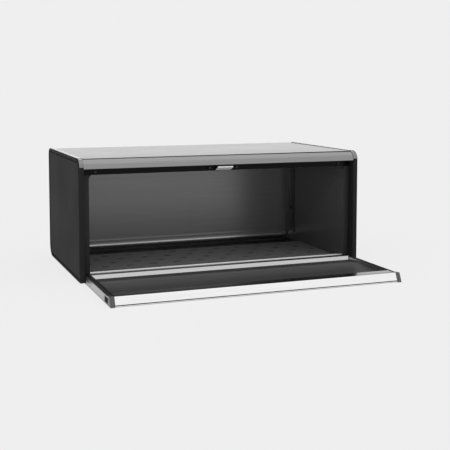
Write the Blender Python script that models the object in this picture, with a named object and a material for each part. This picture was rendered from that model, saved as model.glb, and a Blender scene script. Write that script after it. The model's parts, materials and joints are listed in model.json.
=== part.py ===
"""Bread bin with a drop-down front door, shown open, as an assembly of separate named pieces.

Metres, +Z up. The bin stands on Z = 0, its width runs along X, and the open door lies towards -Y.
Casing pieces are laid out in (depth, height): depth runs back from the front edge of the side panels.
Door pieces are laid out in (reach, lift) from the hinge axis: reach runs towards the door's free edge,
and lift towards the face that is inside when the door is shut.
"""

import math

import bmesh
import bpy
from mathutils import Vector

# Driving dimensions of the casing.
WIDTH = 0.465
DEPTH = 0.250
CASING_HEIGHT = 0.186
FOOT_RISE = 0.0015
SHEET = 0.0008
GAP = 0.0003

# Moulded side panels.
PANEL_EDGE = 0.008
PANEL_WALL = 0.0025
PANEL_RIM = 0.0045
PANEL_LIP = 0.0025
RIM_PROUD = 0.0008
RIM_ROUND = 0.0016
LEAST_RADIUS = 0.0002
FIELD_DROP = 0.0006
GROOVE_DROP = 0.0012
GROOVE_WIDTH = 0.0009
SPIGOT_REACH = 0.005
TRIM_START = math.radians(8)
TRIM_SIDE = 0.0016
R_TOP_FRONT = 0.015
R_TOP_REAR = 0.011
R_BOTTOM_REAR = 0.022
R_BOTTOM_FRONT = 0.003

# Opening frame.
JAMB_WIDTH = 0.0087
JAMB_LIP = 0.0018
FRAME_WALL = 0.0020
FRAME_CLEARANCE = 0.0007
LINER_WALL = 0.0020
LIP_RETURN = 0.0048
LIP_STEP = 0.0001
OPENING_RADIUS = 0.005
OPENING_CLEARANCE = 0.0001
RAIL_TOP_SPACE = 0.0029
RAIL_LEDGE = 0.0020
RAIL_END_STEP = 0.0004

# Floor, sill and feet.
SILL_STEP = 0.0019
SILL_WIDTH = 0.0068
SILL_ROUND = 0.0030
UPSTAND_SPACE = 0.0027
FLOOR_RISE = 0.0043
FLOOR_WALL = 0.0022
FLOOR_BACK_SPACE = 0.065
PAN_ROUND = 0.0145
PAN_RISE = 0.0175
FOOT_RADIUS = 0.007
FOOT_ROUND = 0.0005
FOOT_SIDE = 0.040
FOOT_FRONT = 0.038
FOOT_BACK_SPACE = 0.045

# Rear corner strips and their rivets.
STRIP_WIDTH = 0.029
STRIP_WALL = 0.0012
STRIP_BACK_SPACE = 0.0060
STRIP_END_SPACE = 0.0025
RIVET_RADIUS = 0.0020
RIVET_HEAD = 0.0034
RIVET_DOME = 0.0014
RIVET_FROM_BOTTOM = 0.0452

# Door.
DOOR_THICKNESS = 0.0136
DOOR_FLOAT = 0.0002
DOOR_SIDE_GAP = 0.0010
FINGER_GAP = 0.0035
GRIP_BEVEL = 0.0062
GRIP_SHEET = 0.0010
GRIP_HEM = 0.010
RECESS = 0.0053
RIM_REACH = 0.0085
SIDE_STRIP = 0.008
SEAL_WALL = 0.0010
SEAL_INSET = 0.0030
DOOR_PANEL_WALL = 0.0020
FLANGE_WIDTH = 0.0218
FRONT_RAIL_FOOT = 0.010
END_CAP_WIDTH = 0.0065
END_CAP_REACH = 0.014
PANEL_GROOVE = 0.032
GROOVE_DEPTH = 0.0006
GROOVE_HALF_WIDTH = 0.0015
PANEL_RIDGE = 0.052
RIDGE_HEIGHT = 0.0006
RIDGE_HALF_WIDTH = 0.012

# Hinge and bumpers.
PIN_RADIUS = 0.0020
PIN_NOSE = 0.0004
PIN_CLEARANCE = 0.0003
BUSH_WALL = 0.0014
PIN_REACH = 0.023
BLOCK_LENGTH = 0.016
BLOCK_TAIL_SPACE = 0.001
BUMPER_LENGTH = 0.020
BUMPER_MARGIN = 0.00305
BUMPER_END_SPACE = 0.0015
BUMPER_ROUND = 0.0005

# Magnetic catch and the screws of the header.
CATCH_DEPTH = 0.0015
CATCH_CLEARANCE = 0.0006
CATCH_TOP_SPACE = 0.0007
CATCH_SIDE = 0.0142
HOOD_WALL = 0.0012
MAGNET_WIDTH = 0.0256
MAGNET_SETBACK = 0.0030
MAGNET_THICKNESS = 0.0020
MAGNET_PROUD = 0.0005
SCREW_RADIUS = 0.0012
SCREW_HEAD = 0.0022
SCREW_HEAD_DEPTH = 0.0011
SCREW_EDGE = 0.0045
RAIL_SCREW_SIDE = 0.0285
RAIL_SCREW_RISE = 0.0046

# Steps in each quarter turn, by the size of the round.
FINE, MEDIUM, COARSE = 10, 6, 4

# Outer faces of the casing and of its steel sheet.
HALF = WIDTH / 2
TOP = FOOT_RISE + CASING_HEIGHT
STEEL_TOP = TOP - RIM_PROUD
STEEL_BACK = DEPTH - RIM_PROUD
STEEL_BOTTOM = FOOT_RISE + RIM_PROUD
INNER_INSET = RIM_PROUD + SHEET + GAP
LIP_EDGE = TOP - R_TOP_FRONT - SHEET - 2 * LIP_STEP
SHEET_SIDE = PANEL_EDGE + GAP

# The hinge axis, the plane of the opening frame, and the door between them.
HALF_DOOR = DOOR_THICKNESS / 2
HINGE_HEIGHT = HALF_DOOR + DOOR_FLOAT
HINGE_SETBACK = HALF_DOOR + DOOR_FLOAT
FRAME_SETBACK = DOOR_FLOAT + DOOR_THICKNESS + FRAME_CLEARANCE
FRAME_BACK = FRAME_SETBACK + FRAME_WALL
DOOR_REACH = LIP_EDGE - FINGER_GAP - HINGE_HEIGHT
INNER_REACH = DOOR_REACH - GRIP_BEVEL
GRIP_SLOPE = GRIP_BEVEL / DOOR_THICKNESS
DOOR_SIDE = PANEL_EDGE + DOOR_SIDE_GAP
STRIP_EDGE = DOOR_SIDE + SIDE_STRIP
RECESS_LIFT = HALF_DOOR - RECESS
FLANGE_START = INNER_REACH - FLANGE_WIDTH
END_CAP_START = DOOR_REACH - END_CAP_REACH
BUMPER_HEIGHT = DOOR_THICKNESS - 2 * BUMPER_MARGIN
BUSH_RADIUS = PIN_RADIUS + PIN_CLEARANCE + BUSH_WALL
BLOCK_RADIUS = HALF_DOOR - SHEET - 2 * GAP
BLOCK_TAIL = RIM_REACH - BLOCK_TAIL_SPACE

# The opening, the floor and what stands in them.
LINER_INSET = PANEL_EDGE + JAMB_WIDTH
INSIDE_SIDE = LINER_INSET + GAP
MOUTH_SIDE = INSIDE_SIDE + JAMB_LIP
OPENING_TOP = HINGE_HEIGHT + INNER_REACH + OPENING_CLEARANCE
RAIL_TOP = STEEL_TOP - SHEET - RAIL_TOP_SPACE
SILL_TOP = HINGE_HEIGHT + HALF_DOOR + SILL_STEP
SILL_BACK = FRAME_SETBACK + SILL_WIDTH
UPSTAND_TOP = SILL_TOP - UPSTAND_SPACE
PAN_BOTTOM = STEEL_BOTTOM + SHEET + GAP
PAN_FLOOR = PAN_BOTTOM + SHEET
PAN_TOP = PAN_BOTTOM + PAN_RISE
PAN_BACK = DEPTH - R_BOTTOM_REAR + PAN_ROUND
FLOOR_TOP = PAN_FLOOR + FLOOR_RISE
FLOOR_END = DEPTH - FLOOR_BACK_SPACE
FOOT_BACK = DEPTH - FOOT_BACK_SPACE
STRIP_BACK = PAN_BACK - STRIP_BACK_SPACE
STRIP_BOTTOM = PAN_TOP + GAP
STRIP_TOP = TOP - R_TOP_REAR - STRIP_END_SPACE
RIVET_HEIGHT = STRIP_BOTTOM + RIVET_FROM_BOTTOM

# The catch.
CATCH_WIDTH = MAGNET_WIDTH + 2 * CATCH_SIDE
CATCH_SCREW_SPACING = CATCH_WIDTH - 2 * SCREW_EDGE
CATCH_TOP = LIP_EDGE - CATCH_TOP_SPACE
CATCH_BACK = FRAME_SETBACK - GAP
CATCH_FRONT = CATCH_BACK - CATCH_DEPTH
RAIL_SCREW_HEIGHT = OPENING_TOP + RAIL_SCREW_RISE

# The origin is the middle of the footprint with the door open, so the front edge lies behind it.
FRONT_Y = (DOOR_REACH - HINGE_SETBACK - DEPTH) / 2


# ---------------------------------------------------------------- outlines

def arc_points(before, corner, after, radius, steps):
    """Points of the round that replaces a corner, from the side of before to the side of after."""
    corner = Vector(corner)
    into = (Vector(before) - corner).normalized()
    out = (Vector(after) - corner).normalized()
    half_angle = into.angle(out) / 2
    centre = corner + (into + out).normalized() * (radius / math.sin(half_angle))
    start = corner + into * (radius / math.tan(half_angle)) - centre
    turn = math.pi - 2 * half_angle
    if into.x * out.y - into.y * out.x > 0:
        turn = -turn
    points = []
    for step in range(steps + 1):
        angle = turn * step / steps
        x = start.x * math.cos(angle) - start.y * math.sin(angle)
        y = start.x * math.sin(angle) + start.y * math.cos(angle)
        points.append((centre.x + x, centre.y + y))
    return points


def rounded(corners, closed=True):
    """Outline through corners given as (a, b) or (a, b, radius, steps)."""
    points = []
    last = len(corners) - 1
    for index, corner in enumerate(corners):
        is_end = not closed and index in (0, last)
        if len(corner) == 2 or is_end:
            points.append(tuple(corner[:2]))
            continue
        before = corners[index - 1][:2]
        after = corners[(index + 1) % len(corners)][:2]
        points += arc_points(before, corner[:2], after, corner[2], corner[3])
    return points


def sheet(corners, thickness):
    """Closed outline of a bent sheet: its outer path, and the same path moved to its right."""
    path = [Vector(point) for point in rounded(corners, closed=False)]
    inner = []
    for index, point in enumerate(path):
        into = (point - path[max(index - 1, 0)]).normalized()
        out = (path[min(index + 1, len(path) - 1)] - point).normalized()
        into = into if into.length else out
        out = out if out.length else into
        right_in = Vector((into.y, -into.x))
        right_out = Vector((out.y, -out.x))
        along = (right_in + right_out).normalized()
        inner.append(point + along * (thickness / along.dot(right_in)))
    return [tuple(point) for point in path] + [tuple(point) for point in reversed(inner)]


def casing_outline(inset, front=None):
    """The side outline of the bin in (depth, height), moved inwards; the front may move further."""
    front = inset if front is None else front
    deeper = max(inset, front)
    low = LEAST_RADIUS
    return rounded([
        (front, FOOT_RISE + inset, max(R_BOTTOM_FRONT - deeper, low), COARSE),
        (DEPTH - inset, FOOT_RISE + inset, max(R_BOTTOM_REAR - inset, low), FINE),
        (DEPTH - inset, TOP - inset, max(R_TOP_REAR - inset, low), MEDIUM),
        (front, TOP - inset, max(R_TOP_FRONT - deeper, low), FINE),
    ])


def in_frame(outline):
    """(depth, height) to world (y, z)."""
    return [(FRONT_Y + depth, height) for depth, height in outline]


def in_door(outline):
    """(reach, lift) to (y, z) about the hinge axis, with the door open."""
    return [(-reach, lift) for reach, lift in outline]


def grip_reach(lift):
    """How far the sloped free edge of the door reaches at a lift."""
    return DOOR_REACH - GRIP_SLOPE * (lift + HALF_DOOR)


# ---------------------------------------------------------------- solids

def material(name, colour, roughness, metallic):
    found = bpy.data.materials.new(name)
    found.use_nodes = True
    shader = found.node_tree.nodes["Principled BSDF"]
    shader.inputs["Base Color"].default_value = (*colour, 1.0)
    shader.inputs["Roughness"].default_value = roughness
    shader.inputs["Metallic"].default_value = metallic
    found.diffuse_color = (*colour, 1.0)
    return found


def finish_object(name, bm, look):
    bmesh.ops.remove_doubles(bm, verts=bm.verts, dist=1e-6)
    bmesh.ops.recalc_face_normals(bm, faces=bm.faces)
    mesh = bpy.data.meshes.new(name)
    bm.to_mesh(mesh)
    bm.free()
    mesh.shade_smooth()
    mesh.set_sharp_from_angle(angle=math.radians(35))
    made = bpy.data.objects.new(name, mesh)
    if look:
        mesh.materials.append(look)
    bpy.context.scene.collection.objects.link(made)
    return made


def loft(name, rings, look):
    """One closed body through rings of equal length, with flat ends."""
    bm = bmesh.new()
    rows = [[bm.verts.new(point) for point in ring] for ring in rings]
    count = len(rows[0])
    for lower, upper in zip(rows, rows[1:]):
        for index in range(count):
            after = (index + 1) % count
            bm.faces.new((lower[index], lower[after], upper[after], upper[index]))
    bm.faces.new(rows[0])
    bm.faces.new(rows[-1])
    return finish_object(name, bm, look)


def prism_x(name, outline, start, end, look):
    """Outline in (y, z), carried along X."""
    return loft(name, [[(x, y, z) for y, z in outline] for x in (start, end)], look)


def prism_y(name, outline, start, end, look):
    """Outline in (x, z), carried along Y."""
    return loft(name, [[(x, y, z) for x, z in outline] for y in (start, end)], look)


def block(name, low, high, look):
    outline = [(low[1], low[2]), (high[1], low[2]), (high[1], high[2]), (low[1], high[2])]
    return prism_x(name, outline, low[0], high[0], look)


def turned(name, profile, look, steps=24, ring=False):
    """Profile of (radius, z) turned about Z; a ring's profile closes on itself away from the axis."""
    bm = bmesh.new()
    rows = []
    for radius, z in profile:
        if radius == 0:
            rows.append([bm.verts.new((0, 0, z))])
            continue
        angles = [2 * math.pi * step / steps for step in range(steps)]
        rows.append([bm.verts.new((radius * math.cos(a), radius * math.sin(a), z)) for a in angles])
    pairs = list(zip(rows, rows[1:]))
    if ring:
        pairs.append((rows[-1], rows[0]))
    for lower, upper in pairs:
        for step in range(steps):
            after = (step + 1) % steps
            corners = [lower[step % len(lower)], lower[after % len(lower)]]
            corners += [upper[after % len(upper)], upper[step % len(upper)]]
            bm.faces.new(list(dict.fromkeys(corners)))
    return finish_object(name, bm, look)


def helper(made):
    """Marks an object that only shapes another one."""
    made.hide_render = True
    made.display_type = "WIRE"
    return made


def boolean(target, other, operation):
    step = target.modifiers.new(other.name, "BOOLEAN")
    step.operation = operation
    step.object = helper(other)
    return target


def cut(target, cutter):
    return boolean(target, cutter, "DIFFERENCE")


def join(target, other):
    return boolean(target, other, "UNION")


def soften(target, width, segments=2):
    """Small round on the sharp edges of a moulded piece."""
    step = target.modifiers.new("edge_round", "BEVEL")
    step.width = width
    step.segments = segments
    step.limit_method = "ANGLE"
    step.angle_limit = math.radians(40)
    return target


def rod_cutter(name, radius, length, location, rotation):
    """Round cutter whose middle is at location."""
    half = length / 2
    cutter = turned(name, [(0, -half), (radius, -half), (radius, half), (0, half)], None)
    cutter.location = location
    cutter.rotation_euler = rotation
    return cutter


ALONG_X = (0, math.radians(90), 0)
FACING_FRONT = (math.radians(90), 0, 0)
SIDES = (("left", -1), ("right", 1))


def from_side(side, distance):
    """World X at a distance in from the outer face of one side."""
    return side * (HALF - distance)


# ---------------------------------------------------------------- casing pieces

def casing_shell(look):
    """Steel sheet wrapped from the header lip over the top, down the back and under the bin."""
    outer = [
        (RIM_PROUD + LIP_RETURN, LIP_EDGE),
        (RIM_PROUD, LIP_EDGE, SHEET + LIP_STEP, COARSE),
        (RIM_PROUD, STEEL_TOP, R_TOP_FRONT - RIM_PROUD, FINE),
        (STEEL_BACK, STEEL_TOP, R_TOP_REAR - RIM_PROUD, MEDIUM),
        (STEEL_BACK, STEEL_BOTTOM, R_BOTTOM_REAR - RIM_PROUD, FINE),
        (FRAME_BACK + GAP, STEEL_BOTTOM),
    ]
    outline = in_frame(sheet(outer, SHEET))
    return prism_x("casing_shell", outline, from_side(-1, SHEET_SIDE), from_side(1, SHEET_SIDE), look)


def panel_ring(side, distance, inset, front=None):
    x = from_side(side, distance)
    return [(x, y, z) for y, z in in_frame(casing_outline(inset, front))]


def side_panel(name, side, look):
    """Moulded end cap: rounded rim, fine groove, flat field, and a spigot that locates the steel sheet."""
    groove = PANEL_RIM + GROOVE_WIDTH
    spigot_front = FRAME_BACK + GAP
    rings = [
        panel_ring(side, FIELD_DROP, groove + GROOVE_WIDTH / 2),
        panel_ring(side, GROOVE_DROP, groove),
        panel_ring(side, GROOVE_DROP, PANEL_RIM),
        panel_ring(side, 0, PANEL_RIM - GROOVE_WIDTH / 2),
    ]
    for step in range(COARSE + 1):
        angle = math.radians(90) * step / COARSE
        inset = RIM_ROUND * (1 - math.sin(angle))
        rings.append(panel_ring(side, RIM_ROUND * (1 - math.cos(angle)), inset))
    rings += [
        panel_ring(side, PANEL_EDGE, 0),
        panel_ring(side, PANEL_EDGE, INNER_INSET, spigot_front),
        panel_ring(side, PANEL_EDGE + SPIGOT_REACH, INNER_INSET, spigot_front),
        panel_ring(side, PANEL_EDGE + SPIGOT_REACH, INNER_INSET + PANEL_LIP, spigot_front + PANEL_LIP),
        panel_ring(side, PANEL_WALL, INNER_INSET + PANEL_LIP, spigot_front + PANEL_LIP),
    ]
    panel = loft(name, rings, look)
    hole_length = 2 * (PANEL_EDGE - PANEL_WALL)
    place = (from_side(side, PANEL_EDGE), FRONT_Y + HINGE_SETBACK, HINGE_HEIGHT)
    cut(panel, rod_cutter(name + "_pin_hole", PIN_RADIUS + GAP, hole_length, place, ALONG_X))
    return cut(panel, trim_rebate(name + "_rebate", side))


def trim_path(extra=0.0):
    """Path of the bright rim over the front round and the top, lengthened by extra at both ends."""
    start = TRIM_START - extra / R_TOP_FRONT
    path = []
    for step in range(FINE + 1):
        angle = start + (math.radians(90) - start) * step / FINE
        path.append((R_TOP_FRONT * (1 - math.cos(angle)), TOP - R_TOP_FRONT * (1 - math.sin(angle))))
    return path + [(DEPTH - R_TOP_REAR + extra, TOP)]


def trim_rebate(name, side):
    """Cutter that lets the bright rim into a side panel, open outwards and towards the steel top."""
    path = trim_path(GAP)
    inner = sheet(path, SHEET + GAP)[len(path):]
    beyond = PANEL_EDGE / 2
    outline = inner + [(-beyond, path[0][1]), (-beyond, TOP + beyond), (path[-1][0], TOP + beyond)]
    near, far = sorted((from_side(side, TRIM_SIDE - GAP), from_side(side, PANEL_EDGE + GAP)))
    return prism_x(name, in_frame(outline), near, far, None)


def rim_trim(name, side, look):
    """Bright strip let into a side panel's rim, beside the steel top."""
    near, far = sorted((from_side(side, TRIM_SIDE), from_side(side, PANEL_EDGE)))
    return prism_x(name, in_frame(sheet(trim_path(), SHEET)), near, far, look)


def side_liner(name, side, look):
    """Inner side wall with the front jamb flange that frames the opening."""
    inset = INNER_INSET + GAP / 3
    wall = [
        panel_ring(side, LINER_INSET, inset, FRAME_SETBACK),
        panel_ring(side, LINER_INSET - LINER_WALL, inset, FRAME_SETBACK),
    ]
    liner = loft(name, wall, look)
    near, far = sorted((from_side(side, SHEET_SIDE + GAP), from_side(side, LINER_INSET + JAMB_LIP)))
    low = (near, FRONT_Y + FRAME_SETBACK, FOOT_RISE + inset)
    high = (far, FRONT_Y + FRAME_BACK, TOP - inset - GAP)
    join(liner, block(name + "_jamb", low, high, None))
    low = (near - FRAME_WALL, FRONT_Y + FRAME_SETBACK - FRAME_WALL, OPENING_TOP - GAP)
    high = (far + FRAME_WALL, FRONT_Y + FRAME_BACK + GAP, TOP)
    return cut(liner, block(name + "_notch", low, high, None))


def header_rail(look):
    """Black rail over the jambs, with rounded corners down into the opening and a ledge to the lip."""
    wide = HALF - SHEET_SIDE - GAP
    end = HALF - MOUTH_SIDE
    drop = OPENING_TOP - OPENING_RADIUS
    step = end - RAIL_END_STEP
    fillet = OPENING_RADIUS - RAIL_END_STEP
    outline = rounded([
        (-wide, RAIL_TOP),
        (-wide, OPENING_TOP),
        (-end, OPENING_TOP),
        (-end, drop),
        (-step, drop),
        (-step, OPENING_TOP, fillet, MEDIUM),
        (step, OPENING_TOP, fillet, MEDIUM),
        (step, drop),
        (end, drop),
        (end, OPENING_TOP),
        (wide, OPENING_TOP),
        (wide, RAIL_TOP),
    ])
    rail = prism_y("header_rail", outline, FRONT_Y + FRAME_SETBACK, FRONT_Y + FRAME_BACK, look)
    ledge_low = LIP_EDGE + SHEET + GAP
    ledge_high = ledge_low + RAIL_LEDGE
    inner_radius = R_TOP_FRONT - RIM_PROUD - SHEET
    rise = ledge_high - (TOP - R_TOP_FRONT)
    sheet_depth = R_TOP_FRONT - math.sqrt(inner_radius ** 2 - max(rise, 0) ** 2)
    low = (-end, FRONT_Y + sheet_depth + GAP, ledge_low)
    high = (end, FRONT_Y + FRAME_BACK - FRAME_WALL / 2, ledge_high)
    join(rail, block("header_rail_ledge", low, high, None))
    for name, x, z in screw_places():
        place = (x, FRONT_Y + FRAME_SETBACK, z)
        cut(rail, rod_cutter(name + "_rail_hole", SCREW_RADIUS + GAP, 4 * FRAME_WALL, place, FACING_FRONT))
    return rail


def front_sill(look):
    """Steel strip folded over the front edge of the floor."""
    foot = PAN_FLOOR + GAP
    path = [
        (FRAME_SETBACK, foot),
        (FRAME_SETBACK, SILL_TOP, SILL_ROUND, MEDIUM),
        (SILL_BACK, SILL_TOP, SILL_ROUND, MEDIUM),
        (SILL_BACK, foot),
    ]
    outline = in_frame(sheet(path, SHEET))
    return prism_x("front_sill", outline, from_side(-1, MOUTH_SIDE), from_side(1, MOUTH_SIDE), look)


def base_pan(look):
    """Bare steel pan on the bottom sheet, turned up inside the sill and in front of the back wall."""
    front = FRAME_SETBACK + SHEET + GAP
    path = [
        (PAN_BACK, PAN_TOP),
        (PAN_BACK, PAN_BOTTOM, PAN_ROUND, FINE),
        (front, PAN_BOTTOM, 2 * SHEET, COARSE),
        (front, UPSTAND_TOP),
    ]
    outline = in_frame(sheet(path, SHEET))
    return prism_x("base_pan", outline, from_side(-1, MOUTH_SIDE), from_side(1, MOUTH_SIDE), look)


def floor_tray(look):
    """Moulded floor that stands on the pan by its skirt."""
    skirt = PAN_FLOOR + GAP
    side = INSIDE_SIDE + GAP
    low = (from_side(-1, side), FRONT_Y + SILL_BACK + GAP, skirt)
    high = (from_side(1, side), FRONT_Y + FLOOR_END, FLOOR_TOP)
    tray = block("floor_tray", low, high, look)
    inner_low = (low[0] + FLOOR_WALL, low[1] + FLOOR_WALL, skirt - FLOOR_WALL)
    inner_high = (high[0] - FLOOR_WALL, high[1] - FLOOR_WALL, FLOOR_TOP - FLOOR_WALL)
    return cut(tray, block("floor_tray_hollow", inner_low, inner_high, None))


def foot(name, side, depth, look):
    """Low rubber foot under the bottom sheet."""
    height = STEEL_BOTTOM - GAP
    profile = [
        (0, 0),
        (FOOT_RADIUS - FOOT_ROUND, 0),
        (FOOT_RADIUS, FOOT_ROUND),
        (FOOT_RADIUS, height),
        (0, height),
    ]
    made = turned(name, profile, look)
    made.location = (from_side(side, FOOT_SIDE), FRONT_Y + depth, 0)
    return made


def rear_corner_strip(name, side, look):
    """Flat upright strip riveted to the side liner near the back wall."""
    near, far = sorted((from_side(side, INSIDE_SIDE), from_side(side, INSIDE_SIDE + STRIP_WALL)))
    low = (near, FRONT_Y + STRIP_BACK - STRIP_WIDTH, STRIP_BOTTOM)
    high = (far, FRONT_Y + STRIP_BACK, STRIP_TOP)
    strip = block(name, low, high, look)
    place = (near, FRONT_Y + STRIP_BACK - STRIP_WIDTH / 2, RIVET_HEIGHT)
    return cut(strip, rod_cutter(name + "_hole", RIVET_RADIUS + GAP, 4 * STRIP_WALL, place, ALONG_X))


def strip_rivet(name, side, look):
    """Domed rivet through a corner strip, its head towards the inside of the bin."""
    shank = STRIP_WALL + GAP
    profile = [
        (0, -shank),
        (RIVET_RADIUS, -shank),
        (RIVET_RADIUS, 0),
        (RIVET_HEAD, 0),
        (RIVET_HEAD * 0.80, RIVET_DOME * 0.64),
        (RIVET_HEAD * 0.45, RIVET_DOME * 0.91),
        (0, RIVET_DOME),
    ]
    made = turned(name, profile, look, steps=16)
    made.rotation_euler = (0, math.radians(-90 * side), 0)
    x = from_side(side, INSIDE_SIDE + STRIP_WALL + GAP)
    made.location = (x, FRONT_Y + STRIP_BACK - STRIP_WIDTH / 2, RIVET_HEIGHT)
    return made


# ---------------------------------------------------------------- magnetic catch and screws

def closed_edge_height(depth):
    """Height of the shut door's sloped free edge at a depth behind the front."""
    lift = depth - HINGE_SETBACK
    return HINGE_HEIGHT + grip_reach(min(lift, HALF_DOOR))


def over_edge(depth, rise=0.0):
    """(depth, height) at a rise above the catch's underside, which clears the shut door's edge."""
    return depth, closed_edge_height(depth) + CATCH_CLEARANCE + rise


def over_edge_band(front, back, low, high):
    """Outline of a band along the slope of the shut door's edge, between two rises."""
    below = [over_edge(front, low), over_edge(back, low)]
    above = [over_edge(back, high), over_edge(front, high)]
    return in_frame(below + above)


def catch_block(name, width, front, back, rise, look):
    """Block from a rise above the slope of the shut door's edge up to the top of the catch."""
    outline = [over_edge(front, rise), over_edge(back, rise), (back, CATCH_TOP), (front, CATCH_TOP)]
    return prism_x(name, in_frame(outline), -width / 2, width / 2, look)


def magnet_housing(look):
    """Plate on the header rail, with a hood in front of it that holds the magnet from above."""
    housing = catch_block("magnet_housing", CATCH_WIDTH, CATCH_FRONT, CATCH_BACK, 0.0, look)
    hood_width = MAGNET_WIDTH + 2 * (GAP + HOOD_WALL)
    front = MAGNET_SETBACK + MAGNET_PROUD
    back = CATCH_BACK - CATCH_DEPTH / 2
    join(housing, catch_block("magnet_hood", hood_width, front, back, MAGNET_PROUD, None))
    side = MAGNET_WIDTH / 2 + GAP
    room = over_edge_band(MAGNET_SETBACK - GAP, FRAME_SETBACK, -MAGNET_THICKNESS, MAGNET_THICKNESS + GAP)
    cut(housing, prism_x("magnet_room", room, -side, side, None))
    for name, x, z in screw_places():
        if name.startswith("catch"):
            place = (x, FRONT_Y + CATCH_FRONT, z)
            cut(housing, rod_cutter(name + "_hole", SCREW_RADIUS + GAP, 4 * CATCH_DEPTH, place, FACING_FRONT))
    return housing


def magnet(look):
    """Plate magnet whose face lies along the slope of the shut door's edge."""
    outline = over_edge_band(MAGNET_SETBACK, CATCH_BACK, 0.0, MAGNET_THICKNESS)
    return prism_x("magnet", outline, -MAGNET_WIDTH / 2, MAGNET_WIDTH / 2, look)


def screw_places():
    """(name, x, z) of the screws that show on the header."""
    catch_height = (CATCH_TOP + over_edge(CATCH_FRONT)[1]) / 2
    places = []
    for word, side in SIDES:
        places.append((f"catch_screw_{word}", side * CATCH_SCREW_SPACING / 2, catch_height))
        places.append((f"rail_screw_{word}", from_side(side, RAIL_SCREW_SIDE), RAIL_SCREW_HEIGHT))
    return places


def header_screw(name, x, z, look):
    """Pan-head screw that faces the front; a catch screw also passes through the magnet housing."""
    reach = FRAME_WALL + GAP
    seat = CATCH_BACK
    if name.startswith("catch"):
        reach += CATCH_DEPTH + GAP
        seat -= CATCH_DEPTH + GAP
    profile = [
        (0, -reach),
        (SCREW_RADIUS, -reach),
        (SCREW_RADIUS, 0),
        (SCREW_HEAD, 0),
        (SCREW_HEAD, SCREW_HEAD_DEPTH * 0.6),
        (SCREW_HEAD * 0.7, SCREW_HEAD_DEPTH),
        (0, SCREW_HEAD_DEPTH),
    ]
    made = turned(name, profile, look, steps=16)
    made.rotation_euler = FACING_FRONT
    made.location = (x, FRONT_Y + seat, z)
    return made


# ---------------------------------------------------------------- door pieces

def half_round(radius, tail, steps):
    """Outline in (reach, lift) of a block that is round about the hinge axis and square at its tail."""
    points = []
    for step in range(2 * steps + 1):
        angle = math.radians(90 + 180 * step / (2 * steps))
        points.append((radius * math.cos(angle), radius * math.sin(angle)))
    return points + [(tail, -radius), (tail, radius)]


def door_skin(look):
    """Outer sheet of the door, rolled round the hinge axis up to the inner face."""
    hem_start = DOOR_REACH - GRIP_HEM - GAP
    turn = HALF_DOOR * 0.9999
    path = [
        (hem_start, -HALF_DOOR),
        (-HALF_DOOR, -HALF_DOOR, turn, FINE),
        (-HALF_DOOR, HALF_DOOR, turn, FINE),
        (DOOR_FLOAT, HALF_DOOR),
    ]
    outline = in_door(sheet(path, SHEET))
    return prism_x("door_skin", outline, from_side(-1, DOOR_SIDE), from_side(1, DOOR_SIDE), look)


def door_hinge_rail(look):
    """Folded steel rail: flat rim, 45 degree wall down to the recess, and a foot on the outer sheet."""
    wall_foot = RIM_REACH + RECESS
    floor = -HALF_DOOR + 2 * SHEET + GAP
    path = [
        (DOOR_FLOAT + GAP, HALF_DOOR),
        (RIM_REACH, HALF_DOOR),
        (wall_foot, RECESS_LIFT),
        (wall_foot, floor),
        (wall_foot + 4 * SHEET, floor),
    ]
    outline = in_door(sheet(path, SHEET))
    edge = STRIP_EDGE + GAP
    return prism_x("door_hinge_rail", outline, from_side(-1, edge), from_side(1, edge), look)


def door_inner_panel(look):
    """Recessed moulded panel with one groove and one low ridge along the door."""
    low = RECESS_LIFT - DOOR_PANEL_WALL
    start = RIM_REACH + RECESS + GAP
    end = FLANGE_START - GAP
    ridge_top = RIDGE_HALF_WIDTH / 3
    groove_floor = GROOVE_HALF_WIDTH / 2
    outline = [
        (start, low),
        (end, low),
        (end, RECESS_LIFT),
        (PANEL_RIDGE + RIDGE_HALF_WIDTH, RECESS_LIFT),
        (PANEL_RIDGE + ridge_top, RECESS_LIFT + RIDGE_HEIGHT),
        (PANEL_RIDGE - ridge_top, RECESS_LIFT + RIDGE_HEIGHT),
        (PANEL_RIDGE - RIDGE_HALF_WIDTH, RECESS_LIFT),
        (PANEL_GROOVE + GROOVE_HALF_WIDTH, RECESS_LIFT),
        (PANEL_GROOVE + groove_floor, RECESS_LIFT - GROOVE_DEPTH),
        (PANEL_GROOVE - groove_floor, RECESS_LIFT - GROOVE_DEPTH),
        (PANEL_GROOVE - GROOVE_HALF_WIDTH, RECESS_LIFT),
        (start, RECESS_LIFT),
    ]
    edge = STRIP_EDGE + GAP
    return prism_x("door_inner_panel", in_door(outline), from_side(-1, edge), from_side(1, edge), look)


def door_front_rail(look):
    """Steel channel that carries the free edge: foot, web and the flange on the inner face."""
    floor = -HALF_DOOR + SHEET + GAP
    top_return = INNER_REACH - 4 * GRIP_SHEET
    path = [
        (top_return, HALF_DOOR),
        (FLANGE_START, HALF_DOOR),
        (FLANGE_START, floor),
        (FLANGE_START + FRONT_RAIL_FOOT, floor),
    ]
    outline = in_door(sheet(path, -SHEET))
    edge = STRIP_EDGE + GAP
    return prism_x("door_front_rail", outline, from_side(-1, edge), from_side(1, edge), look)


def grip_strip(look):
    """Bright strip folded over the free edge, with a hem on the outer face."""
    fold = GRIP_SHEET * 1.2
    path = [
        (INNER_REACH - 4 * GRIP_SHEET + GAP, HALF_DOOR),
        (INNER_REACH, HALF_DOOR, fold, COARSE),
        (DOOR_REACH, -HALF_DOOR, fold, COARSE),
        (DOOR_REACH - GRIP_HEM, -HALF_DOOR),
    ]
    outline = in_door(sheet(path, GRIP_SHEET))
    edge = DOOR_SIDE + END_CAP_WIDTH + GAP
    return prism_x("grip_strip", outline, from_side(-1, edge), from_side(1, edge), look)


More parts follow.
